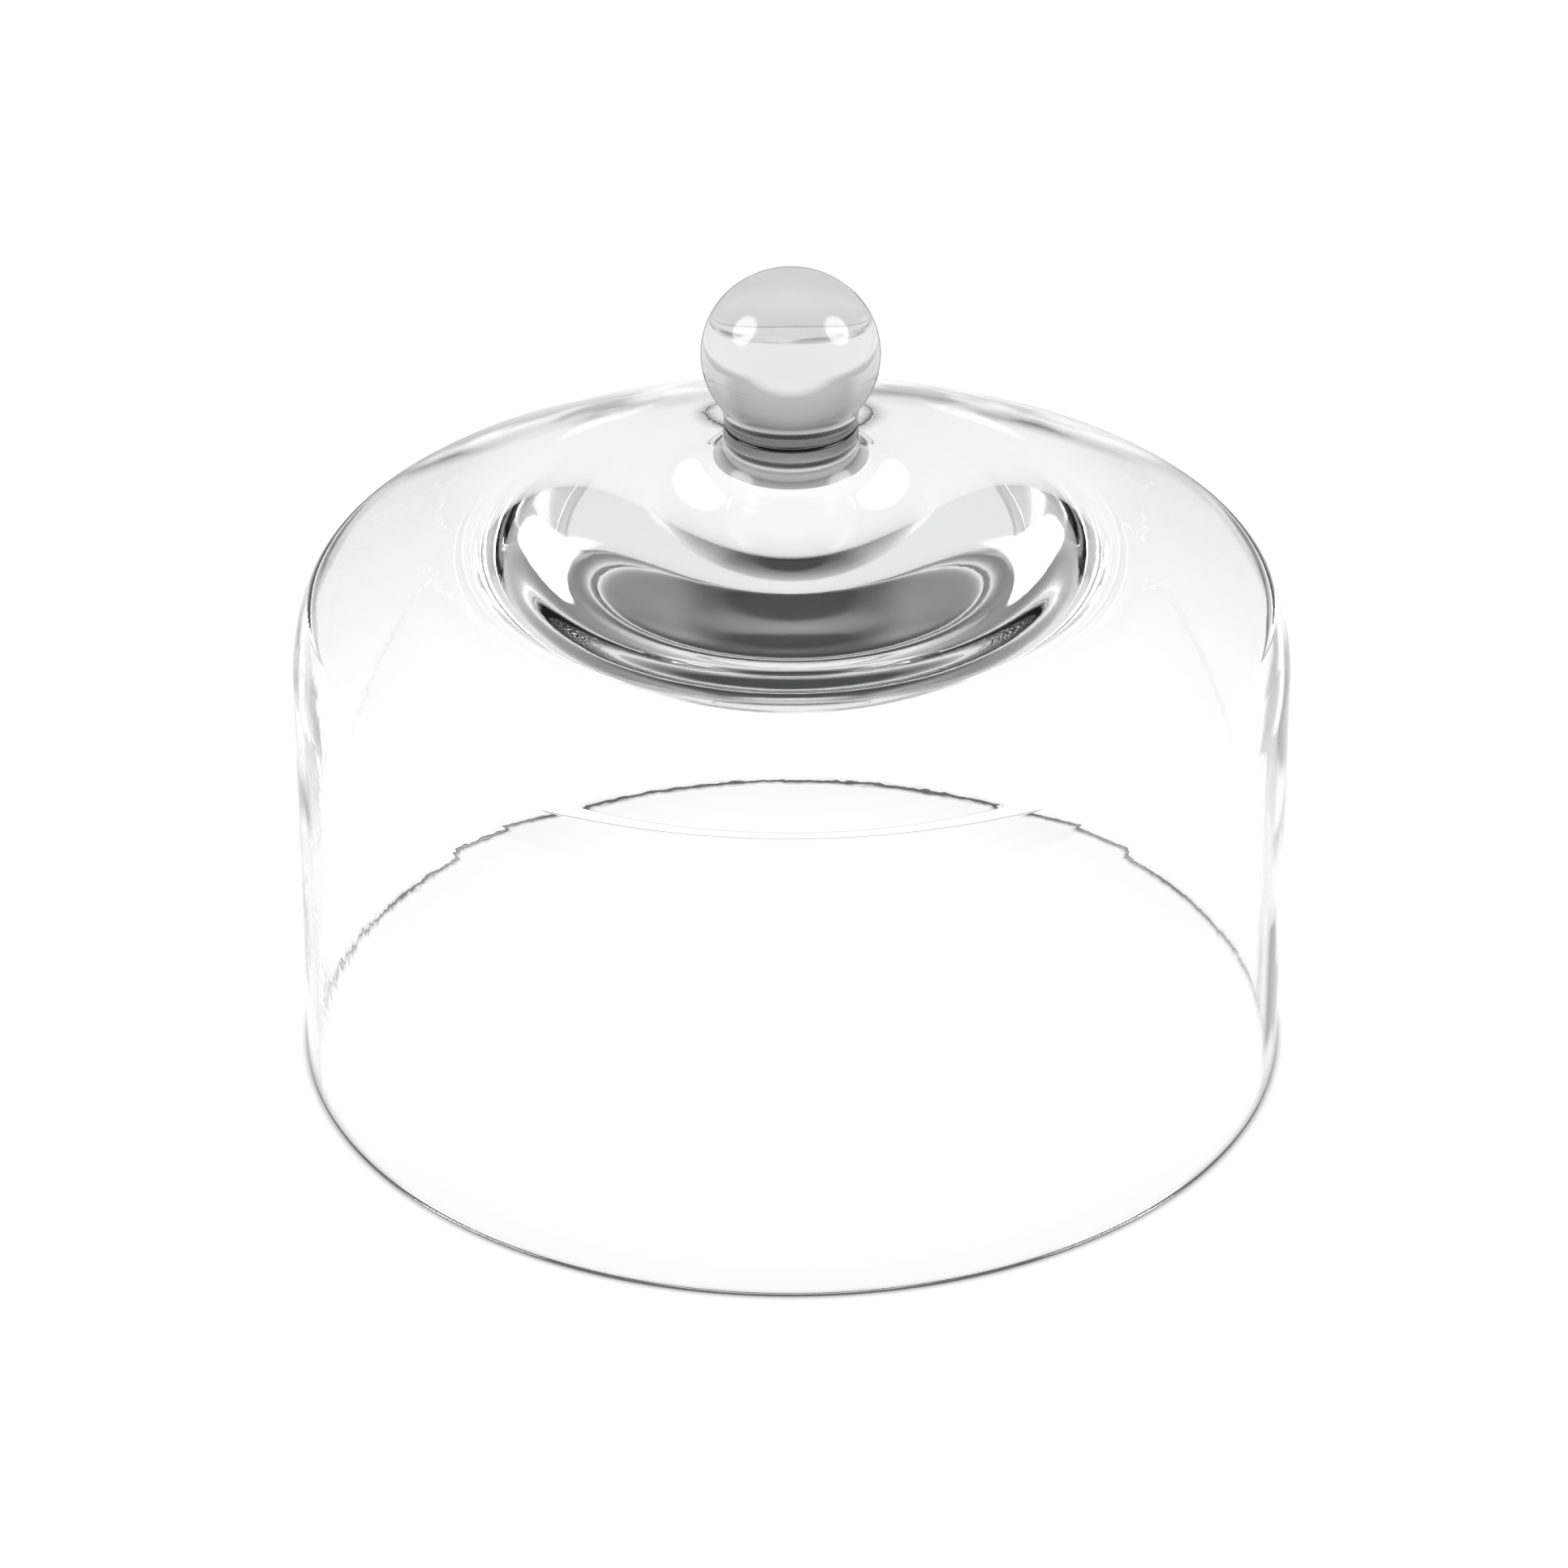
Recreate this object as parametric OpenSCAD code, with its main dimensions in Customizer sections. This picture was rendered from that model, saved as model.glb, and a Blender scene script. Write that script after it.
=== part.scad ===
// Low, wide bell jar dome of clear blown glass, with a solid glass ball knob set on a flared collar.
// Millimetres. The rim stands on Z = 0 and the axis of revolution is +Z through the origin.

/* [Rim and wall] */
// Outside diameter of the rim and of the straight wall
dome_d = 270; // [200:1:400]
// Glass thickness of the wall and shoulder
wall = 2.6; // [2:0.1:5]
// Height of the straight wall, from the rim to where the shoulder starts
wall_h = 115.4; // [60:0.1:260]
// Radius of the fire-polished edges of the rim
rim_round = 0.3; // [0.2:0.05:0.9]

/* [Shoulder] */
// Radius of the slow curve at the foot of the shoulder
shoulder_low_r = 50; // [30:1:90]
// Radius of the middle of the shoulder
shoulder_mid_r = 28; // [12:1:40]
// Radius of the tight turn into the crown
shoulder_top_r = 6; // [5.5:0.5:12]
// Surface slope where the slow curve ends, in degrees
shoulder_low_slope = 75; // [70:1:80]
// Surface slope where the tight turn starts, in degrees
shoulder_mid_slope = 60; // [50:1:68]
// Surface slope where the shoulder meets the crown, in degrees
crown_edge_slope = 28; // [22:1:32]

/* [Crown] */
// How far the crown rises from the shoulder to the land that carries the collar
crown_rise = 41.1; // [36:0.1:60]
// Surface slope of the crown where the flare starts, in degrees
crown_top_slope = 10; // [6:1:14]
// Radius of the thick middle of the crown, as a share of the dome's radius
boss_share = 0.75; // [0.6:0.01:0.8]
// How much thicker the glass is on the axis than at the edge of the thick middle
boss_depth = 54; // [10:1:60]

/* [Collar] */
// Radius of the hollow flare that sweeps up from the crown to the neck
flare_r = 9.5; // [7:0.1:14]
// Surface slope of the flare at the land, in degrees
land_slope = 45; // [35:1:55]
// Straight length of the collar above the flare
collar_lip_h = 3.1; // [1:0.1:6]

/* [Knob] */
// Diameter of the neck
neck_d = 35.9; // [28:0.1:40]
// Widest diameter of the ball
ball_d = 47.8; // [44:0.1:60]
// Height of the ball, were it whole
ball_h = 45.6; // [42:0.1:60]
// Radius of the hollow between the neck and the ball
neck_fillet_r = 12; // [8:0.5:22]
// Depth of the rounded groove around the seam between collar and neck
seam_groove = 0.7; // [0.3:0.1:1.2]

/* [Hidden] */

$fn = 128;
ARC_STEP = 3;       // degrees between the points of an arc
CROWN_STEPS = 36;   // points along the crown
LEAN_STEP = 0.05;   // half the width over which a slope is measured
GLASS = [0.86, 0.9, 0.9, 0.4];

dome_r = dome_d / 2;
neck_r = neck_d / 2;
ball_r = ball_d / 2;
ball_half_h = ball_h / 2;

// Shoulder: three arcs that share a tangent, each with its centre as [radius, height]
low_centre = [dome_r - shoulder_low_r, wall_h];
mid_centre = low_centre + (shoulder_low_r - shoulder_mid_r) * facing(shoulder_low_slope);
top_centre = mid_centre + (shoulder_mid_r - shoulder_top_r) * facing(shoulder_mid_slope);

crown_edge = top_centre + shoulder_top_r * facing(crown_edge_slope);
land_h = crown_edge[1] + crown_rise;

// Flare: a hollow arc that leaves the neck upright and meets the crown at its slope
flare_h = land_h + flare_r * cos(land_slope);
flare_centre = [neck_r + flare_r, flare_h];
flare_start = flare_point(crown_top_slope);
seam_h = flare_h + collar_lip_h;

// Knob: an ellipse blended into an upright neck
fillet_centre_r = neck_r + neck_fillet_r;
blend_slope = blend_angle();
blend_point = ball_point(blend_slope);
blend_centre_h = blend_point[1] - neck_fillet_r * sin(blend_slope);
neck_foot_h = seam_h + seam_groove;
ball_centre_h = neck_foot_h - blend_centre_h;
knob_top = ball_centre_h + ball_half_h;

// Underside of the crown, from the inner end of the shoulder
boss_r = boss_share * dome_r;
inner_start_r = crown_edge[0] - wall * sin(crown_edge_slope);

// Unit vector, as [radius, height], that a surface of this slope faces
function facing(slope) = [sin(slope), cos(slope)];

// Points of an arc about a centre, from one slope to another
function arc(centre, radius, from, to) =
    let (count = max(2, ceil(abs(to - from) / ARC_STEP)))
    [for (i = [0:count]) centre + radius * facing(from + (to - from) * i / count)];

// Shoulder outline moved inward by an inset, from the wall to the crown
function shoulder(inset) = concat(
    arc(low_centre, shoulder_low_r - inset, 90, shoulder_low_slope),
    arc(mid_centre, shoulder_mid_r - inset, shoulder_low_slope - ARC_STEP, shoulder_mid_slope),
    arc(top_centre, shoulder_top_r - inset, shoulder_mid_slope - ARC_STEP, crown_edge_slope)
);

// A point on the flare where its surface has this slope
function flare_point(slope) = flare_centre - flare_r * facing(slope);

function flare(from, to) =
    let (count = ceil(abs(to - from) / ARC_STEP))
    [for (i = [0:count]) flare_point(from + (to - from) * i / count)];

// Height of a cubic that joins two points with a given slope, in degrees, at each end
function cubic(a, slope_a, b, slope_b, share) =
    let (run = a[0] - b[0],
         s = share,
         rise_a = run * tan(slope_a),
         rise_b = run * tan(slope_b))
    (2 * s * s * s - 3 * s * s + 1) * a[1] + (s * s * s - 2 * s * s + s) * rise_a
    + (3 * s * s - 2 * s * s * s) * b[1] + (s * s * s - s * s) * rise_b;

// Height of the outside of the crown at a radius; under the flare it levels out towards the axis
function crown_height(r) =
    r > flare_start[0]
    ? cubic(crown_edge, crown_edge_slope, flare_start, crown_top_slope,
            (crown_edge[0] - r) / (crown_edge[0] - flare_start[0]))
    : flare_start[1] + tan(crown_top_slope) * (pow(flare_start[0], 2) - r * r) / (2 * flare_start[0]);

function crown_lean(r) =
    atan((crown_height(r - LEAN_STEP) - crown_height(r + LEAN_STEP)) / (2 * LEAN_STEP));

// Extra thickness of the middle of the crown at a radius
function boss(r) = boss_depth * pow(sin(90 * max(0, 1 - r / boss_r)), 2);

// Outside of the crown, between the shoulder and the flare
function crown_outside() =
    [for (i = [1:CROWN_STEPS - 1])
        let (r = crown_edge[0] + (flare_start[0] - crown_edge[0]) * i / CROWN_STEPS)
        [r, crown_height(r)]];

// Underside of the crown, from the axis to the shoulder
function crown_inside() =
    [for (i = [0:CROWN_STEPS - 1])
        let (r = inner_start_r * i / CROWN_STEPS)
        [r, crown_height(r) - wall / cos(crown_lean(r)) - boss(r)]];

// The same points in the opposite order
function reversed(list) = [for (i = [len(list) - 1:-1:0]) list[i]];

// A point on the ball below its widest line, from its centre, where the surface leans out by this angle
function ball_point(lean) =
    let (reach = sqrt(pow(ball_r * cos(lean), 2) + pow(ball_half_h * sin(lean), 2)))
    [pow(ball_r, 2) * cos(lean) / reach, -pow(ball_half_h, 2) * sin(lean) / reach];

// The lean at which the hollow of the neck meets the ball, found by halving the interval
function blend_angle(low = 1, high = 80, turns = 30) =
    turns == 0 ? (low + high) / 2 :
    let (middle = (low + high) / 2,
         reach = ball_point(middle)[0] + neck_fillet_r * cos(middle))
    reach > fillet_centre_r ? blend_angle(middle, high, turns - 1) : blend_angle(low, middle, turns - 1);

// Blown shell: rim, wall, shoulder and crown in one piece of glass
module dome_shell() {
    rim_in = [dome_r - wall + rim_round, rim_round];
    rim_out = [dome_r - rim_round, rim_round];
    color(GLASS)
    rotate_extrude()
    polygon(concat(
        arc(rim_in, rim_round, 270, 180),
        arc(rim_out, rim_round, 180, 90),
        shoulder(0),
        crown_outside(),
        flare(crown_top_slope, land_slope),
        [[0, land_h]],
        crown_inside(),
        reversed(shoulder(wall))));
}

// Flared bit of glass between the crown and the knob
module knob_collar() {
    lip_centre = [neck_r - seam_groove, seam_h - seam_groove];
    color(GLASS)
    rotate_extrude()
    polygon(concat(
        [[0, land_h]],
        flare(land_slope, 90),
        arc(lip_centre, seam_groove, 90, 0),
        [[0, seam_h]]));
}

// Solid ball with its neck
module knob() {
    foot_centre = [neck_r - seam_groove, neck_foot_h];
    hollow_centre = [fillet_centre_r, neck_foot_h];
    color(GLASS)
    rotate_extrude()
    polygon(concat(
        [[0, seam_h]],
        arc(foot_centre, seam_groove, 180, 90),
        [for (i = [1:ceil(blend_slope / ARC_STEP) - 1])
            hollow_centre + neck_fillet_r * [-cos(i * ARC_STEP), sin(i * ARC_STEP)]],
        [for (lean = [blend_slope:-ARC_STEP:-88])
            [0, ball_centre_h] + ball_point(lean)],
        [[0, knob_top]]));
}

dome_shell();
knob_collar();
knob();
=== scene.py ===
"""Looks of the bell jar dome: clear blown glass on a pale floor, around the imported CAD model."""

import math

import bpy
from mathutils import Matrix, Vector, noise


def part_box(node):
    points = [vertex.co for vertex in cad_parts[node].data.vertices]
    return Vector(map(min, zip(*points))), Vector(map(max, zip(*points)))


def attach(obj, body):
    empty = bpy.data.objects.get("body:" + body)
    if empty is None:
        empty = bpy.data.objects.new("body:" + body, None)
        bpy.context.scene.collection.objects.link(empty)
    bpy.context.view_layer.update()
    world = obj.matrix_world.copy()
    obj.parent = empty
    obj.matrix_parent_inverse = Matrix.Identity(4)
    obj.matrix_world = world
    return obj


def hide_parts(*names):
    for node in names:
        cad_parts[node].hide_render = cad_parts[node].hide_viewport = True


MM = 0.001
BODY = "root"

# Driving sizes in millimetres, the same as those of the CAD source
DOME_R = 135.0
WALL = 2.6
WALL_H = 115.4
RIM_ROUND = 0.3
SHOULDER_LOW_R = 50.0
SHOULDER_MID_R = 28.0
SHOULDER_TOP_R = 6.0
SHOULDER_LOW_SLOPE = 75.0
SHOULDER_MID_SLOPE = 60.0
CROWN_EDGE_SLOPE = 28.0
CROWN_RISE = 41.1
CROWN_TOP_SLOPE = 10.0
BOSS_R = 0.75 * DOME_R
BOSS_DEPTH = 54.0
FLARE_R = 9.5
LAND_SLOPE = 45.0
COLLAR_LIP_H = 3.1
NECK_R = 17.95
BALL_R = 23.9
BALL_HALF_H = 22.8
NECK_FILLET_R = 12.0
SEAM_GROOVE = 0.7

# How finely the outlines are drawn
SEGMENTS = 320
WALL_RINGS = 56
CROWN_RINGS = 110
INSIDE_RINGS = 180
FLARE_RINGS = 24
BALL_RINGS = 110
ARC_STEP = 1.5
LEAN_STEP = 0.05

# Slow waviness of the hand-blown wall, in millimetres. It dies away over WAVE_FOOT above the
# rim, and over the WAVE_FADE shares of the radius on the crown.
WAVE_DEPTH = 0.35
WAVE_LENGTH = 34.0
WAVE_TALL = 0.45
WAVE_FOOT = 12.0
WAVE_FADE = (0.55, 0.85)
SEED = 7.0

# Glass: densities of the grey tint are per metre
GLASS_IOR = 1.5
GLASS_TINT = (0.5, 0.5, 0.5, 1.0)
SHELL_DENSITY = 3.0
COLLAR_DENSITY = 1.0
KNOB_DENSITY = 13.0

# Ripples are (size, depth, depth at the far left, -X), in millimetres
SHELL_RIPPLES = ((30.0, 0.1, 0.14), (3.6, 0.006, 0.02))
COLLAR_RIPPLES = ((9.0, 0.01, 0.01),)
KNOB_RIPPLES = ((14.0, 0.01, 0.01),)
RIPPLE_SIDE = 0.4

# Roughness runs between two values, in patches of this many millimetres
CLEAR_HAZE = (0.0, 0.012)
TOOLED_HAZE = (0.14, 0.2)
HAZE_SIZE = 30.0
HAZE_SHARE = (0.5, 0.75)

# The painted shade of the seam groove is dark up to the first distance from its middle and clear past
# the second
SEAM_LINE = (0.5, 0.75)

# Painted shade: the edges of the glass darken between two values of Layer Weight, in streaks
EDGE_START = 0.78
EDGE_FULL = 0.83
EDGE_STREAK = 38.0
EDGE_SHARE = (0.4, 0.54)
EDGE_LEAST = 0.3
DARK = (0.0, 0.0, 0.0, 1.0)
CLEAR = (1.0, 1.0, 1.0, 1.0)

# Camera: distance and target height are in dome radii
SENSOR = 36.0
LENS = 155.66
CAMERA_ELEVATION = 30.197
CAMERA_ROLL = 0.0022
CAMERA_DISTANCE = 13.736
TARGET_HEIGHT = 0.5683

# Floor, in metres except for the gap below the rim, which is in millimetres
FLOOR_HALF = 1.1
FLOOR_GAP = 0.2
FLOOR_GLOW = 1.12
FLOOR_FAR = 0.62
FLOOR_FADE = (0.76, 1.05)
# Reach and samples of the painted contact shadow under the rim
CONTACT_REACH = 0.0016
CONTACT_SAMPLES = 8

# The floor inside the dome is a little darker, a painted shadow of the glass: shade over a reach, and
# where it ends
GLASS_SHADE = (0.96, 0.86)
GLASS_SHADE_REACH = (0.09, 0.133)
GLASS_SHADE_END = (0.132, 0.138)

# Studio brightness by elevation in degrees, behind the dome, to both sides of that, and elsewhere
BACK_RAMP = (
    (-90, 0.95),
    (-20, 0.8),
    (-8, 0.6),
    (2, 0.45),
    (12, 0.24),
    (25, 0.1),
    (45, 0.05),
    (59, 0.08),
    (64, 0.88),
    (90, 0.95),
)
QUARTER_RAMP = (
    (-90, 0.95),
    (-8, 0.88),
    (2, 0.72),
    (12, 0.5),
    (22, 0.36),
    (34, 0.28),
    (50, 0.38),
    (60, 0.65),
    (68, 0.9),
    (90, 0.95),
)
SIDE_RAMP = ((-90, 0.95), (-14, 0.9), (-4, 0.7), (8, 0.7), (20, 0.88), (60, 0.92), (90, 0.95))

# Cosines of the azimuth from the back between which one ramp turns into the next
BACK_EDGE = (0.74, 0.9)
QUARTER_EDGE = (-0.1, 0.3)

# Soft boxes are (azimuth, elevation, half width, soft edge, brightness); the dark panel takes a share
SOFT_BOXES = ((-95, 35, 13, 6, 7), (95, 35, 13, 6, 7))
DARK_PANEL = (0, 36, 16, 8, 0.97)
MOST_BOUNCES = 24


# ---------------------------------------------------------------- outlines


def facing(slope):
    """Unit vector, as (radius, height), that a surface of this slope faces."""
    angle = math.radians(slope)
    return Vector((math.sin(angle), math.cos(angle)))


def arc(centre, radius, start, end, step=ARC_STEP):
    """Points of an arc about a centre, from one slope to another."""
    count = max(4, math.ceil(abs(end - start) / step))
    return [centre + radius * facing(start + (end - start) * i / count) for i in range(count + 1)]


def line(a, b, count):
    """Points between two points, without the first and last."""
    return [a.lerp(b, i / count) for i in range(1, count)]


def cubic(a, slope_a, b, slope_b, share):
    """Height of a cubic that joins two points with a given slope, in degrees, at each end."""
    run = a[0] - b[0]
    rise_a = run * math.tan(math.radians(slope_a))
    rise_b = run * math.tan(math.radians(slope_b))
    s = share
    height = (2 * s**3 - 3 * s**2 + 1) * a[1] + (s**3 - 2 * s**2 + s) * rise_a
    return height + (3 * s**2 - 2 * s**3) * b[1] + (s**3 - s**2) * rise_b


def shoulder(inset):
    """Shoulder outline moved inward by an inset, from the wall to the crown."""
    low = Vector((DOME_R - SHOULDER_LOW_R, WALL_H))
    mid = low + (SHOULDER_LOW_R - SHOULDER_MID_R) * facing(SHOULDER_LOW_SLOPE)
    top = mid + (SHOULDER_MID_R - SHOULDER_TOP_R) * facing(SHOULDER_MID_SLOPE)
    points = arc(low, SHOULDER_LOW_R - inset, 90, SHOULDER_LOW_SLOPE)
    points += arc(mid, SHOULDER_MID_R - inset, SHOULDER_LOW_SLOPE, SHOULDER_MID_SLOPE)[1:]
    points += arc(top, SHOULDER_TOP_R - inset, SHOULDER_MID_SLOPE, CROWN_EDGE_SLOPE)[1:]
    return points


def land_height():
    """Height of the land on the crown that carries the collar."""
    return shoulder(0)[-1][1] + CROWN_RISE


def crown_height(radius):
    """Height of the outside of the crown; under the flare it levels out towards the axis."""
    edge = shoulder(0)[-1]
    start = flare(CROWN_TOP_SLOPE, LAND_SLOPE)[0]
    if radius > start[0]:
        share = (edge[0] - radius) / (edge[0] - start[0])
        return cubic(edge, CROWN_EDGE_SLOPE, start, CROWN_TOP_SLOPE, share)
    slope = math.tan(math.radians(CROWN_TOP_SLOPE))
    return start[1] + slope * (start[0] ** 2 - radius**2) / (2 * start[0])


def crown_outside():
    """Outside of the crown between the shoulder and the flare."""
    edge = shoulder(0)[-1][0]
    start = flare(CROWN_TOP_SLOPE, LAND_SLOPE)[0][0]
    radii = [edge + (start - edge) * i / CROWN_RINGS for i in range(1, CROWN_RINGS)]
    return [Vector((radius, crown_height(radius))) for radius in radii]


def crown_inside():
    """Underside of the crown from the shoulder to the axis, with the thick middle hanging down."""
    start = shoulder(WALL)[-1][0]
    points = []
    for i in range(1, INSIDE_RINGS + 1):
        radius = start * (1 - i / INSIDE_RINGS)
        rise = crown_height(radius - LEAN_STEP) - crown_height(radius + LEAN_STEP)
        thickness = WALL * math.hypot(1, rise / (2 * LEAN_STEP))
        share = max(0, 1 - radius / BOSS_R)
        thickness += BOSS_DEPTH * math.sin(math.pi / 2 * share) ** 2
        points.append(Vector((radius, crown_height(radius) - thickness)))
    return points


def flare_height():
    """Height of the centre of the collar's hollow flare."""
    return land_height() + FLARE_R * math.cos(math.radians(LAND_SLOPE))


def seam_height():
    """Height of the joint between collar and knob."""
    return flare_height() + COLLAR_LIP_H


def flare(start, end):
    """Outline of the flare from one slope to another."""
    centre = Vector((NECK_R + FLARE_R, flare_height()))
    return arc(centre, -FLARE_R, start, end, abs(end - start) / FLARE_RINGS)


def ball_point(lean):
    """A point on the ball from its centre, where the surface leans out by this angle."""
    angle = math.radians(lean)
    reach = math.hypot(BALL_R * math.cos(angle), BALL_HALF_H * math.sin(angle))
    return Vector((BALL_R**2 * math.cos(angle) / reach, -(BALL_HALF_H**2) * math.sin(angle) / reach))


def blend_angle():
    """The lean at which the hollow of the neck meets the ball, found by halving the interval."""
    low, high = 1.0, 80.0
    for _ in range(40):
        middle = (low + high) / 2
        reach = ball_point(middle)[0] + NECK_FILLET_R * math.cos(math.radians(middle))
        if reach > NECK_R + NECK_FILLET_R:
            low = middle
        else:
            high = middle
    return middle


def shell_outline():
    """Outside from the rim to the land, and the inside from the axis back down to the rim."""
    outer = shoulder(0)
    inner = shoulder(WALL)
    rim_in = Vector((DOME_R - WALL + RIM_ROUND, RIM_ROUND))
    rim_out = Vector((DOME_R - RIM_ROUND, RIM_ROUND))
    rim = arc(rim_in, RIM_ROUND, 270, 180, 9) + arc(rim_out, RIM_ROUND, 180, 90, 9)
    outside = rim + line(rim[-1], outer[0], WALL_RINGS) + outer
    outside += crown_outside() + flare(CROWN_TOP_SLOPE, LAND_SLOPE)
    inside = line(rim[0], inner[0], WALL_RINGS) + inner + crown_inside()
    return outside, list(reversed(inside))


def collar_outline():
    """Outside of the collar from the land to the seam."""
    lip = Vector((NECK_R - SEAM_GROOVE, seam_height() - SEAM_GROOVE))
    return flare(LAND_SLOPE, 90) + arc(lip, SEAM_GROOVE, 90, 0, 9)


def knob_outline():
    """Outside of the knob from the seam to its top."""
    foot_h = seam_height() + SEAM_GROOVE
    blend = blend_angle()
    joint = ball_point(blend)
    centre_h = foot_h - (joint[1] - NECK_FILLET_R * math.sin(math.radians(blend)))
    foot = arc(Vector((NECK_R - SEAM_GROOVE, foot_h)), SEAM_GROOVE, 180, 90, 9)
    hollow = arc(Vector((NECK_R + NECK_FILLET_R, foot_h)), NECK_FILLET_R, -90, -90 + blend)
    ball = [ball_point(blend + (-90 - blend) * i / BALL_RINGS) for i in range(1, BALL_RINGS + 1)]
    return foot + hollow[1:] + [Vector((0, centre_h)) + point for point in ball]


# ---------------------------------------------------------------- meshes


def wave(radius, height, angle):
    """How far the hand-blown wall is pulled in at a place, in millimetres."""
    spot = Vector((math.cos(angle), math.sin(angle), 0)) * (DOME_R / WAVE_LENGTH)
    spot.z = WAVE_TALL * height / WAVE_LENGTH + SEED
    depth = 0.5 + 0.5 * noise.noise(spot)
    left = 0.35 + 0.65 * (0.5 - 0.5 * math.cos(angle)) ** 2
    low, high = WAVE_FADE
    crown = max(0.0, min(1.0, (radius / DOME_R - low) / (high - low)))
    return WAVE_DEPTH * depth * left * min(1.0, height / WAVE_FOOT) * crown


def turned(name, outline, joints=(), waves=False):
    """A mesh turned round the axis from an outline.

    The faces that start at the outline points in joints touch a neighbour.
    """
    vertices = []
    rings = []
    for radius, height in outline:
        if radius < 1e-6:
            rings.append([len(vertices)])
            vertices.append((0, 0, height * MM))
            continue
        ring = []
        for k in range(SEGMENTS):
            angle = 2 * math.pi * k / SEGMENTS
            reach = radius - (wave(radius, height, angle) if waves else 0)
            ring.append(len(vertices))
            vertices.append((reach * math.cos(angle) * MM, reach * math.sin(angle) * MM, height * MM))
        rings.append(ring)
    faces = []
    touching = []
    for i, below in enumerate(rings):
        above = rings[(i + 1) % len(rings)]
        if len(below) == 1 and len(above) == 1:
            continue
        for k in range(SEGMENTS):
            after = (k + 1) % SEGMENTS
            if len(below) == 1:
                faces.append((below[0], above[after], above[k]))
            elif len(above) == 1:
                faces.append((below[k], below[after], above[0]))
            else:
                faces.append((below[k], below[after], above[after], above[k]))
            touching.append(i in joints)
    mesh = bpy.data.meshes.new(name)
    mesh.from_pydata(vertices, [], faces)
    for face, touches in zip(mesh.polygons, touching):
        face.use_smooth = not touches
        face.material_index = int(touches)
    mesh.update()
    piece = bpy.data.objects.new(name, mesh)
    bpy.context.scene.collection.objects.link(piece)
    return piece


def sharpen(piece):
    """Keeps the shading crisp where a contact face meets the outside."""
    mesh = piece.data
    kinds = {}
    for face in mesh.polygons:
        for key in face.edge_keys:
            kinds.setdefault(key, set()).add(face.material_index)
    for edge in mesh.edges:
        edge.use_edge_sharp = len(kinds[edge.key]) > 1


def finish_piece(piece, node, glass, joint):
    """Gives a piece its materials and its body, and hides the CAD node that it stands for."""
    piece.data.materials.append(glass)
    piece.data.materials.append(joint)
    sharpen(piece)
    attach(piece, BODY)
    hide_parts(node)


# ---------------------------------------------------------------- materials


def absorption(tree, output, density):
    """The faint grey of thick glass, on a material's volume."""
    volume = tree.nodes.new("ShaderNodeVolumeAbsorption")
    volume.inputs["Color"].default_value = GLASS_TINT
    volume.inputs["Density"].default_value = density
    tree.links.new(volume.outputs["Volume"], output.inputs["Volume"])


def noise_node(tree, place, size, detail, seed):
    """A noise of features about this many millimetres across."""
    node = tree.nodes.new("ShaderNodeTexNoise")
    node.noise_dimensions = "4D"
    node.inputs["W"].default_value = seed
    node.inputs["Scale"].default_value = 1 / (size * MM)
    node.inputs["Detail"].default_value = detail
    tree.links.new(place, node.inputs["Vector"])
    return node.outputs["Fac"]


def bump_node(tree, height, depth, side_depth, side, before=None):
    """A bump of this depth in millimetres, changing to another at the far left, on top of one before."""
    node = tree.nodes.new("ShaderNodeBump")
    node.inputs["Strength"].default_value = 1
    far = -DOME_R * MM
    reach = range_node(tree, side, far, RIPPLE_SIDE * far, side_depth * MM, depth * MM)
    tree.links.new(reach, node.inputs["Distance"])
    tree.links.new(height, node.inputs["Height"])
    if before:
        tree.links.new(before, node.inputs["Normal"])
    return node.outputs["Normal"]


def range_node(tree, value, low, high, start, end):
    """Maps a range of one value smoothly to a range of another."""
    node = tree.nodes.new("ShaderNodeMapRange")
    node.interpolation_type = "SMOOTHSTEP"
    node.inputs["From Min"].default_value = low
    node.inputs["From Max"].default_value = high
    node.inputs["To Min"].default_value = start
    node.inputs["To Max"].default_value = end
    tree.links.new(value, node.inputs["Value"])
    return node.outputs["Result"]


def math_node(tree, kind, a, b):
    """A sum of two node outputs, or of an output and a number."""
    node = tree.nodes.new("ShaderNodeMath")
    node.operation = kind
    for socket, value in zip(node.inputs, (a, b)):
        if isinstance(value, (int, float)):
            socket.default_value = value
        else:
            tree.links.new(value, socket)
    return node.outputs[0]


def painted_edge_shade(tree, place, seed):
    """Painted shade: the glass's colour darkens at its edges, where it is seen along its length, in
    uneven streaks.
    """
    facing_edge = tree.nodes.new("ShaderNodeLayerWeight")
    facing_edge.inputs["Blend"].default_value = 0.5
    edge = range_node(tree, facing_edge.outputs["Facing"], EDGE_START, EDGE_FULL, 0, 1)
    streak = noise_node(tree, place, EDGE_STREAK, 2, seed + 5)
    streaks = range_node(tree, streak, *EDGE_SHARE, EDGE_LEAST, 1)
    blend = tree.nodes.new("ShaderNodeMix")
    blend.data_type = "RGBA"
    blend.inputs[6].default_value = CLEAR
    blend.inputs[7].default_value = DARK
    tree.links.new(math_node(tree, "MULTIPLY", edge, streaks), blend.inputs[0])
    return blend.outputs[2]


def painted_seam_shade(tree, place, colour):
    """Painted shade: a dark line in the groove of the seam between collar and knob."""
    split = tree.nodes.new("ShaderNodeSeparateXYZ")
    tree.links.new(place, split.inputs[0])
    rise = math_node(tree, "SUBTRACT", split.outputs["Z"], seam_height() * MM)
    reach = math_node(tree, "ABSOLUTE", rise, 0)
    near, far = SEAM_LINE
    unshaded = range_node(tree, reach, near * MM, far * MM, 0, 1)
    blend = tree.nodes.new("ShaderNodeMix")
    blend.data_type = "RGBA"
    blend.inputs[6].default_value = DARK
    tree.links.new(colour, blend.inputs[7])
    tree.links.new(unshaded, blend.inputs[0])
    return blend.outputs[2]


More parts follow.
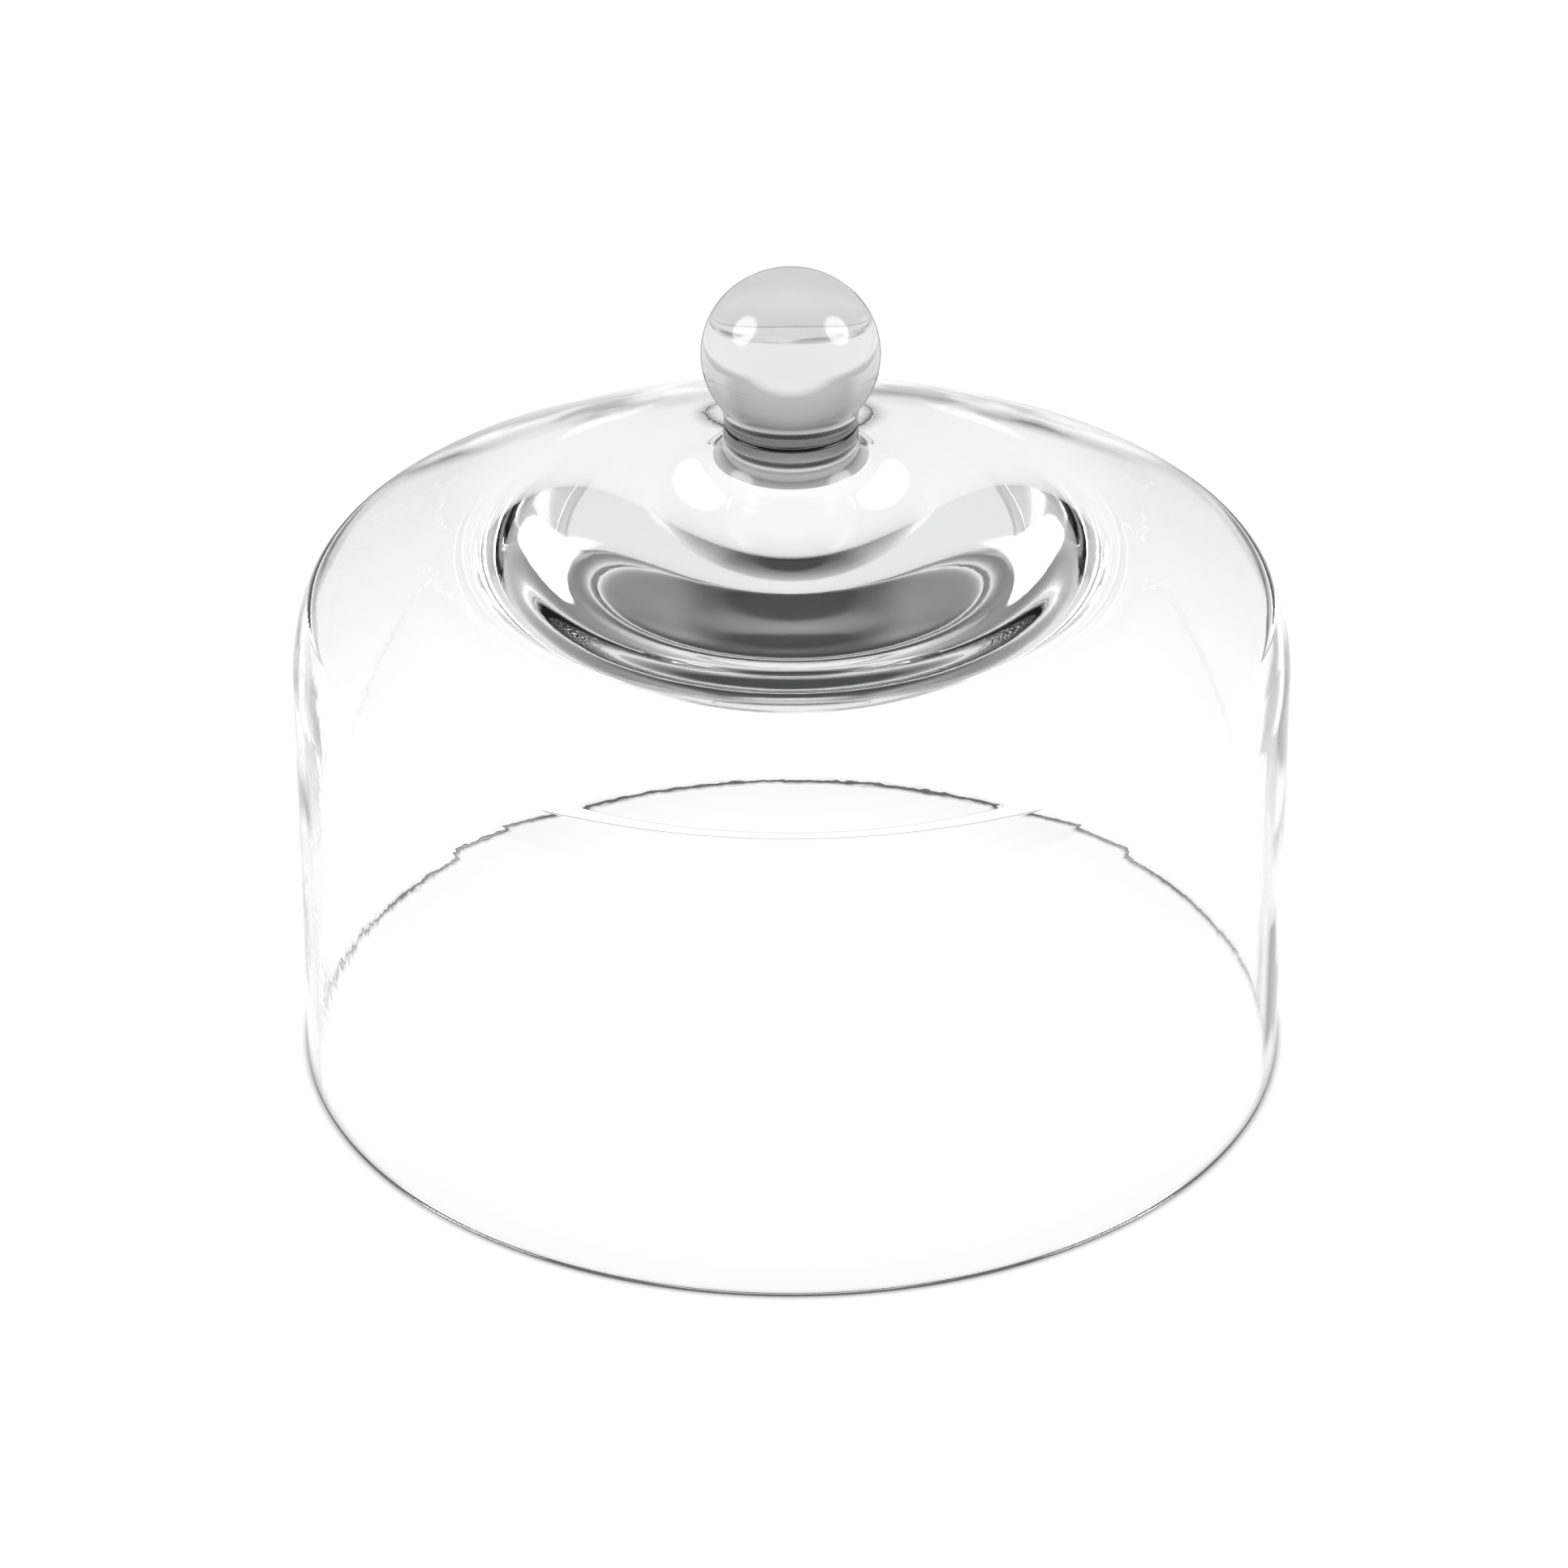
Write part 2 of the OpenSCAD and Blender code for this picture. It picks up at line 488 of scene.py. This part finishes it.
def glass_material(name, ripples, haze, density, seed):
    """Clear glass with faint ripples and an uneven polish between two roughnesses."""
    material = bpy.data.materials.new(name)
    material.use_nodes = True
    tree = material.node_tree
    shader = tree.nodes["Principled BSDF"]
    output = tree.nodes["Material Output"]
    shader.inputs["Transmission Weight"].default_value = 1
    shader.inputs["IOR"].default_value = GLASS_IOR
    place = tree.nodes.new("ShaderNodeTexCoord").outputs["Object"]
    split = tree.nodes.new("ShaderNodeSeparateXYZ")
    tree.links.new(place, split.inputs[0])
    normal = None
    for i, (size, depth, side_depth) in enumerate(ripples):
        height = noise_node(tree, place, size, 1, seed + i)
        normal = bump_node(tree, height, depth, side_depth, split.outputs["X"], normal)
    tree.links.new(normal, shader.inputs["Normal"])
    patches = noise_node(tree, place, HAZE_SIZE, 3, seed + 9)
    polish = range_node(tree, patches, *HAZE_SHARE, *haze)
    tree.links.new(polish, shader.inputs["Roughness"])
    # The base colour carries painted shade at the edges of the glass and in the seam groove
    colour = painted_seam_shade(tree, place, painted_edge_shade(tree, place, seed))
    tree.links.new(colour, shader.inputs["Base Color"])
    absorption(tree, output, density)
    return material


def joint_material(name, density):
    """Inside a fused joint the glass is one, so light passes the contact faces unbent."""
    material = bpy.data.materials.new(name)
    material.use_nodes = True
    tree = material.node_tree
    tree.nodes.remove(tree.nodes["Principled BSDF"])
    output = tree.nodes["Material Output"]
    clear = tree.nodes.new("ShaderNodeBsdfTransparent")
    tree.links.new(clear.outputs["BSDF"], output.inputs["Surface"])
    absorption(tree, output, density)
    return material


def floor_light(tree):
    """Painted light of the glowing floor: white near the dome, less far off, and a painted shadow of the
    glass inside it.
    """
    place = tree.nodes.new("ShaderNodeTexCoord")
    reach = tree.nodes.new("ShaderNodeVectorMath")
    reach.operation = "LENGTH"
    tree.links.new(place.outputs["Object"], reach.inputs[0])
    fade = range_node(tree, reach.outputs["Value"], *FLOOR_FADE, FLOOR_GLOW, FLOOR_FAR)
    inside = range_node(tree, reach.outputs["Value"], *GLASS_SHADE_REACH, *GLASS_SHADE)
    outside = range_node(tree, reach.outputs["Value"], *GLASS_SHADE_END, 0, 1)
    return math_node(tree, "MULTIPLY", fade, math_node(tree, "MAXIMUM", inside, outside))


def floor_material():
    """Pale seamless paper that glows white, with a painted contact shadow where the rim touches it."""
    material = bpy.data.materials.new("pale_floor")
    material.use_nodes = True
    tree = material.node_tree
    tree.nodes.remove(tree.nodes["Principled BSDF"])
    glow = tree.nodes.new("ShaderNodeEmission")
    tree.links.new(floor_light(tree), glow.inputs["Strength"])
    # Painted contact shadow: ambient occlusion darkens the floor's glow near the rim
    shade = tree.nodes.new("ShaderNodeAmbientOcclusion")
    shade.samples = CONTACT_SAMPLES
    shade.inputs["Distance"].default_value = CONTACT_REACH
    tree.links.new(shade.outputs["Color"], glow.inputs["Color"])
    tree.links.new(glow.outputs["Emission"], tree.nodes["Material Output"].inputs["Surface"])
    return material


# ---------------------------------------------------------------- studio


class World:
    """Builds the studio around the object out of directions, as shader nodes."""

    def __init__(self):
        world = bpy.data.worlds.new("studio")
        bpy.context.scene.world = world
        world.use_nodes = True
        self.tree = world.node_tree
        place = self.tree.nodes.new("ShaderNodeTexCoord")
        unit = self.tree.nodes.new("ShaderNodeVectorMath")
        unit.operation = "NORMALIZE"
        self.tree.links.new(place.outputs["Generated"], unit.inputs[0])
        split = self.tree.nodes.new("ShaderNodeSeparateXYZ")
        self.direction = unit.outputs[0]
        self.tree.links.new(self.direction, split.inputs[0])
        self.x, self.y, self.z = split.outputs

    def math(self, kind, a, b):
        """A sum of two values."""
        return math_node(self.tree, kind, a, b)

    def step(self, value, low, high):
        """A smooth step from 0 to 1."""
        return range_node(self.tree, value, low, high, 0, 1)

    def mix(self, share, a, b):
        """A value between two others."""
        node = self.tree.nodes.new("ShaderNodeMix")
        node.data_type = "FLOAT"
        for i, value in ((0, share), (2, a), (3, b)):
            self.tree.links.new(value, node.inputs[i])
        return node.outputs[0]

    def ramp(self, stops):
        """Brightness by elevation, from (degrees, brightness) stops."""
        node = self.tree.nodes.new("ShaderNodeValToRGB")
        share = self.math("ADD", self.math("MULTIPLY", self.z, 0.5), 0.5)
        self.tree.links.new(share, node.inputs[0])
        elements = node.color_ramp.elements
        elements.remove(elements[-1])
        for i, (degrees, value) in enumerate(stops):
            position = (math.sin(math.radians(degrees)) + 1) / 2
            element = elements[0] if i == 0 else elements.new(position)
            element.position = position
            element.color = (value, value, value, 1)
        return node.outputs[0]

    def level(self):
        """Cosine of the azimuth from the back, +Y."""
        across = self.math("MULTIPLY", self.x, self.x)
        along = self.math("MULTIPLY", self.y, self.y)
        reach = self.math("SQRT", self.math("ADD", across, along), 0)
        return self.math("DIVIDE", self.y, self.math("MAXIMUM", reach, 0.001))

    def patch(self, azimuth, elevation, half, soft, value):
        """A soft round light; azimuth is measured from the back, +Y, towards +X."""
        a = math.radians(azimuth)
        e = math.radians(elevation)
        node = self.tree.nodes.new("ShaderNodeVectorMath")
        node.operation = "DOT_PRODUCT"
        aim = (math.sin(a) * math.cos(e), math.cos(a) * math.cos(e), math.sin(e))
        node.inputs[1].default_value = aim
        self.tree.links.new(self.direction, node.inputs[0])
        rim = math.cos(math.radians(half + soft))
        core = math.cos(math.radians(half))
        return self.math("MULTIPLY", self.step(node.outputs["Value"], rim, core), value)

    def use(self, value):
        """Makes a value the light of the world."""
        self.tree.links.new(value, self.tree.nodes["Background"].inputs["Color"])


def light_studio():
    """A dark back with a dark panel, a pale room and ceiling, and two soft boxes."""
    studio = World()
    level = studio.level()
    quarter = studio.step(level, *QUARTER_EDGE)
    back = studio.step(level, *BACK_EDGE)
    total = studio.mix(quarter, studio.ramp(SIDE_RAMP), studio.ramp(QUARTER_RAMP))
    total = studio.mix(back, total, studio.ramp(BACK_RAMP))
    for box in SOFT_BOXES:
        total = studio.math("ADD", total, studio.patch(*box))
    total = studio.math("MULTIPLY", total, studio.math("SUBTRACT", 1, studio.patch(*DARK_PANEL)))
    studio.use(total)


def lay_floor():
    """The floor that the rim stands on."""
    mesh = bpy.data.meshes.new("floor")
    corners = [(-1, -1), (1, -1), (1, 1), (-1, 1)]
    mesh.from_pydata([(x * FLOOR_HALF, y * FLOOR_HALF, 0) for x, y in corners], [], [(0, 1, 2, 3)])
    floor = bpy.data.objects.new("floor", mesh)
    floor.location.z = -FLOOR_GAP * MM
    mesh.materials.append(floor_material())
    bpy.context.scene.collection.objects.link(floor)


def place_camera(radius):
    """Camera in front, looking along +Y and down at the dome."""
    data = bpy.data.cameras.new("camera")
    data.sensor_width = SENSOR
    data.lens = LENS
    camera = bpy.data.objects.new("camera", data)
    bpy.context.scene.collection.objects.link(camera)
    down = math.radians(CAMERA_ELEVATION)
    forward = Vector((0, math.cos(down), -math.sin(down)))
    camera.location = Vector((0, 0, TARGET_HEIGHT * radius)) - forward * CAMERA_DISTANCE * radius
    camera.rotation_euler = (math.pi / 2 - down, CAMERA_ROLL, 0)
    bpy.context.scene.camera = camera


def let_light_bounce():
    """Light is followed far enough that thick glass doesn't turn black."""
    cycles = bpy.context.scene.cycles
    cycles.max_bounces = MOST_BOUNCES
    cycles.transmission_bounces = MOST_BOUNCES
    cycles.glossy_bounces = MOST_BOUNCES
    cycles.transparent_max_bounces = MOST_BOUNCES


# ---------------------------------------------------------------- build


def build_shell(joint):
    """The blown shell: rim, wall, shoulder and crown."""
    outside, inside = shell_outline()
    whole = outside + [Vector((0, land_height()))] + inside
    piece = turned("shell_glass", whole, {len(outside) - 1}, True)
    glass = glass_material("blown_glass", SHELL_RIPPLES, CLEAR_HAZE, SHELL_DENSITY, 1.3)
    finish_piece(piece, "dome_shell", glass, joint)


def build_collar(joint):
    """The flared bit between shell and knob, with a contact face at each end."""
    outline = collar_outline()
    whole = [Vector((0, land_height()))] + outline + [Vector((0, seam_height()))]
    piece = turned("collar_glass", whole, {0, len(outline)})
    glass = glass_material("tooled_glass", COLLAR_RIPPLES, TOOLED_HAZE, COLLAR_DENSITY, 4.1)
    finish_piece(piece, "knob_collar", glass, joint)


def build_knob(joint):
    """The solid ball and its neck, with a contact face at the foot."""
    piece = turned("knob_glass", [Vector((0, seam_height()))] + knob_outline(), {0})
    glass = glass_material("solid_glass", KNOB_RIPPLES, CLEAR_HAZE, KNOB_DENSITY, 8.7)
    finish_piece(piece, "knob", glass, joint)


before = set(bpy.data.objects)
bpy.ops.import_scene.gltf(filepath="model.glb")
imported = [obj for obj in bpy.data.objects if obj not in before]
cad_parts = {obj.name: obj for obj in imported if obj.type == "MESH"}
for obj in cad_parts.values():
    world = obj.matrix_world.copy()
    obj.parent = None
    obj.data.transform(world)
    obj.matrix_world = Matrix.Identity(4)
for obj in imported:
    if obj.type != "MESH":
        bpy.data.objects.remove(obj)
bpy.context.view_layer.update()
place_camera(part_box("dome_shell")[1].x)
build_shell(joint_material("shell_joint", SHELL_DENSITY))
build_collar(joint_material("collar_joint", COLLAR_DENSITY))
build_knob(joint_material("knob_joint", KNOB_DENSITY))
lay_floor()
light_studio()
bpy.context.scene.view_settings.view_transform = "Standard"
let_light_bounce()
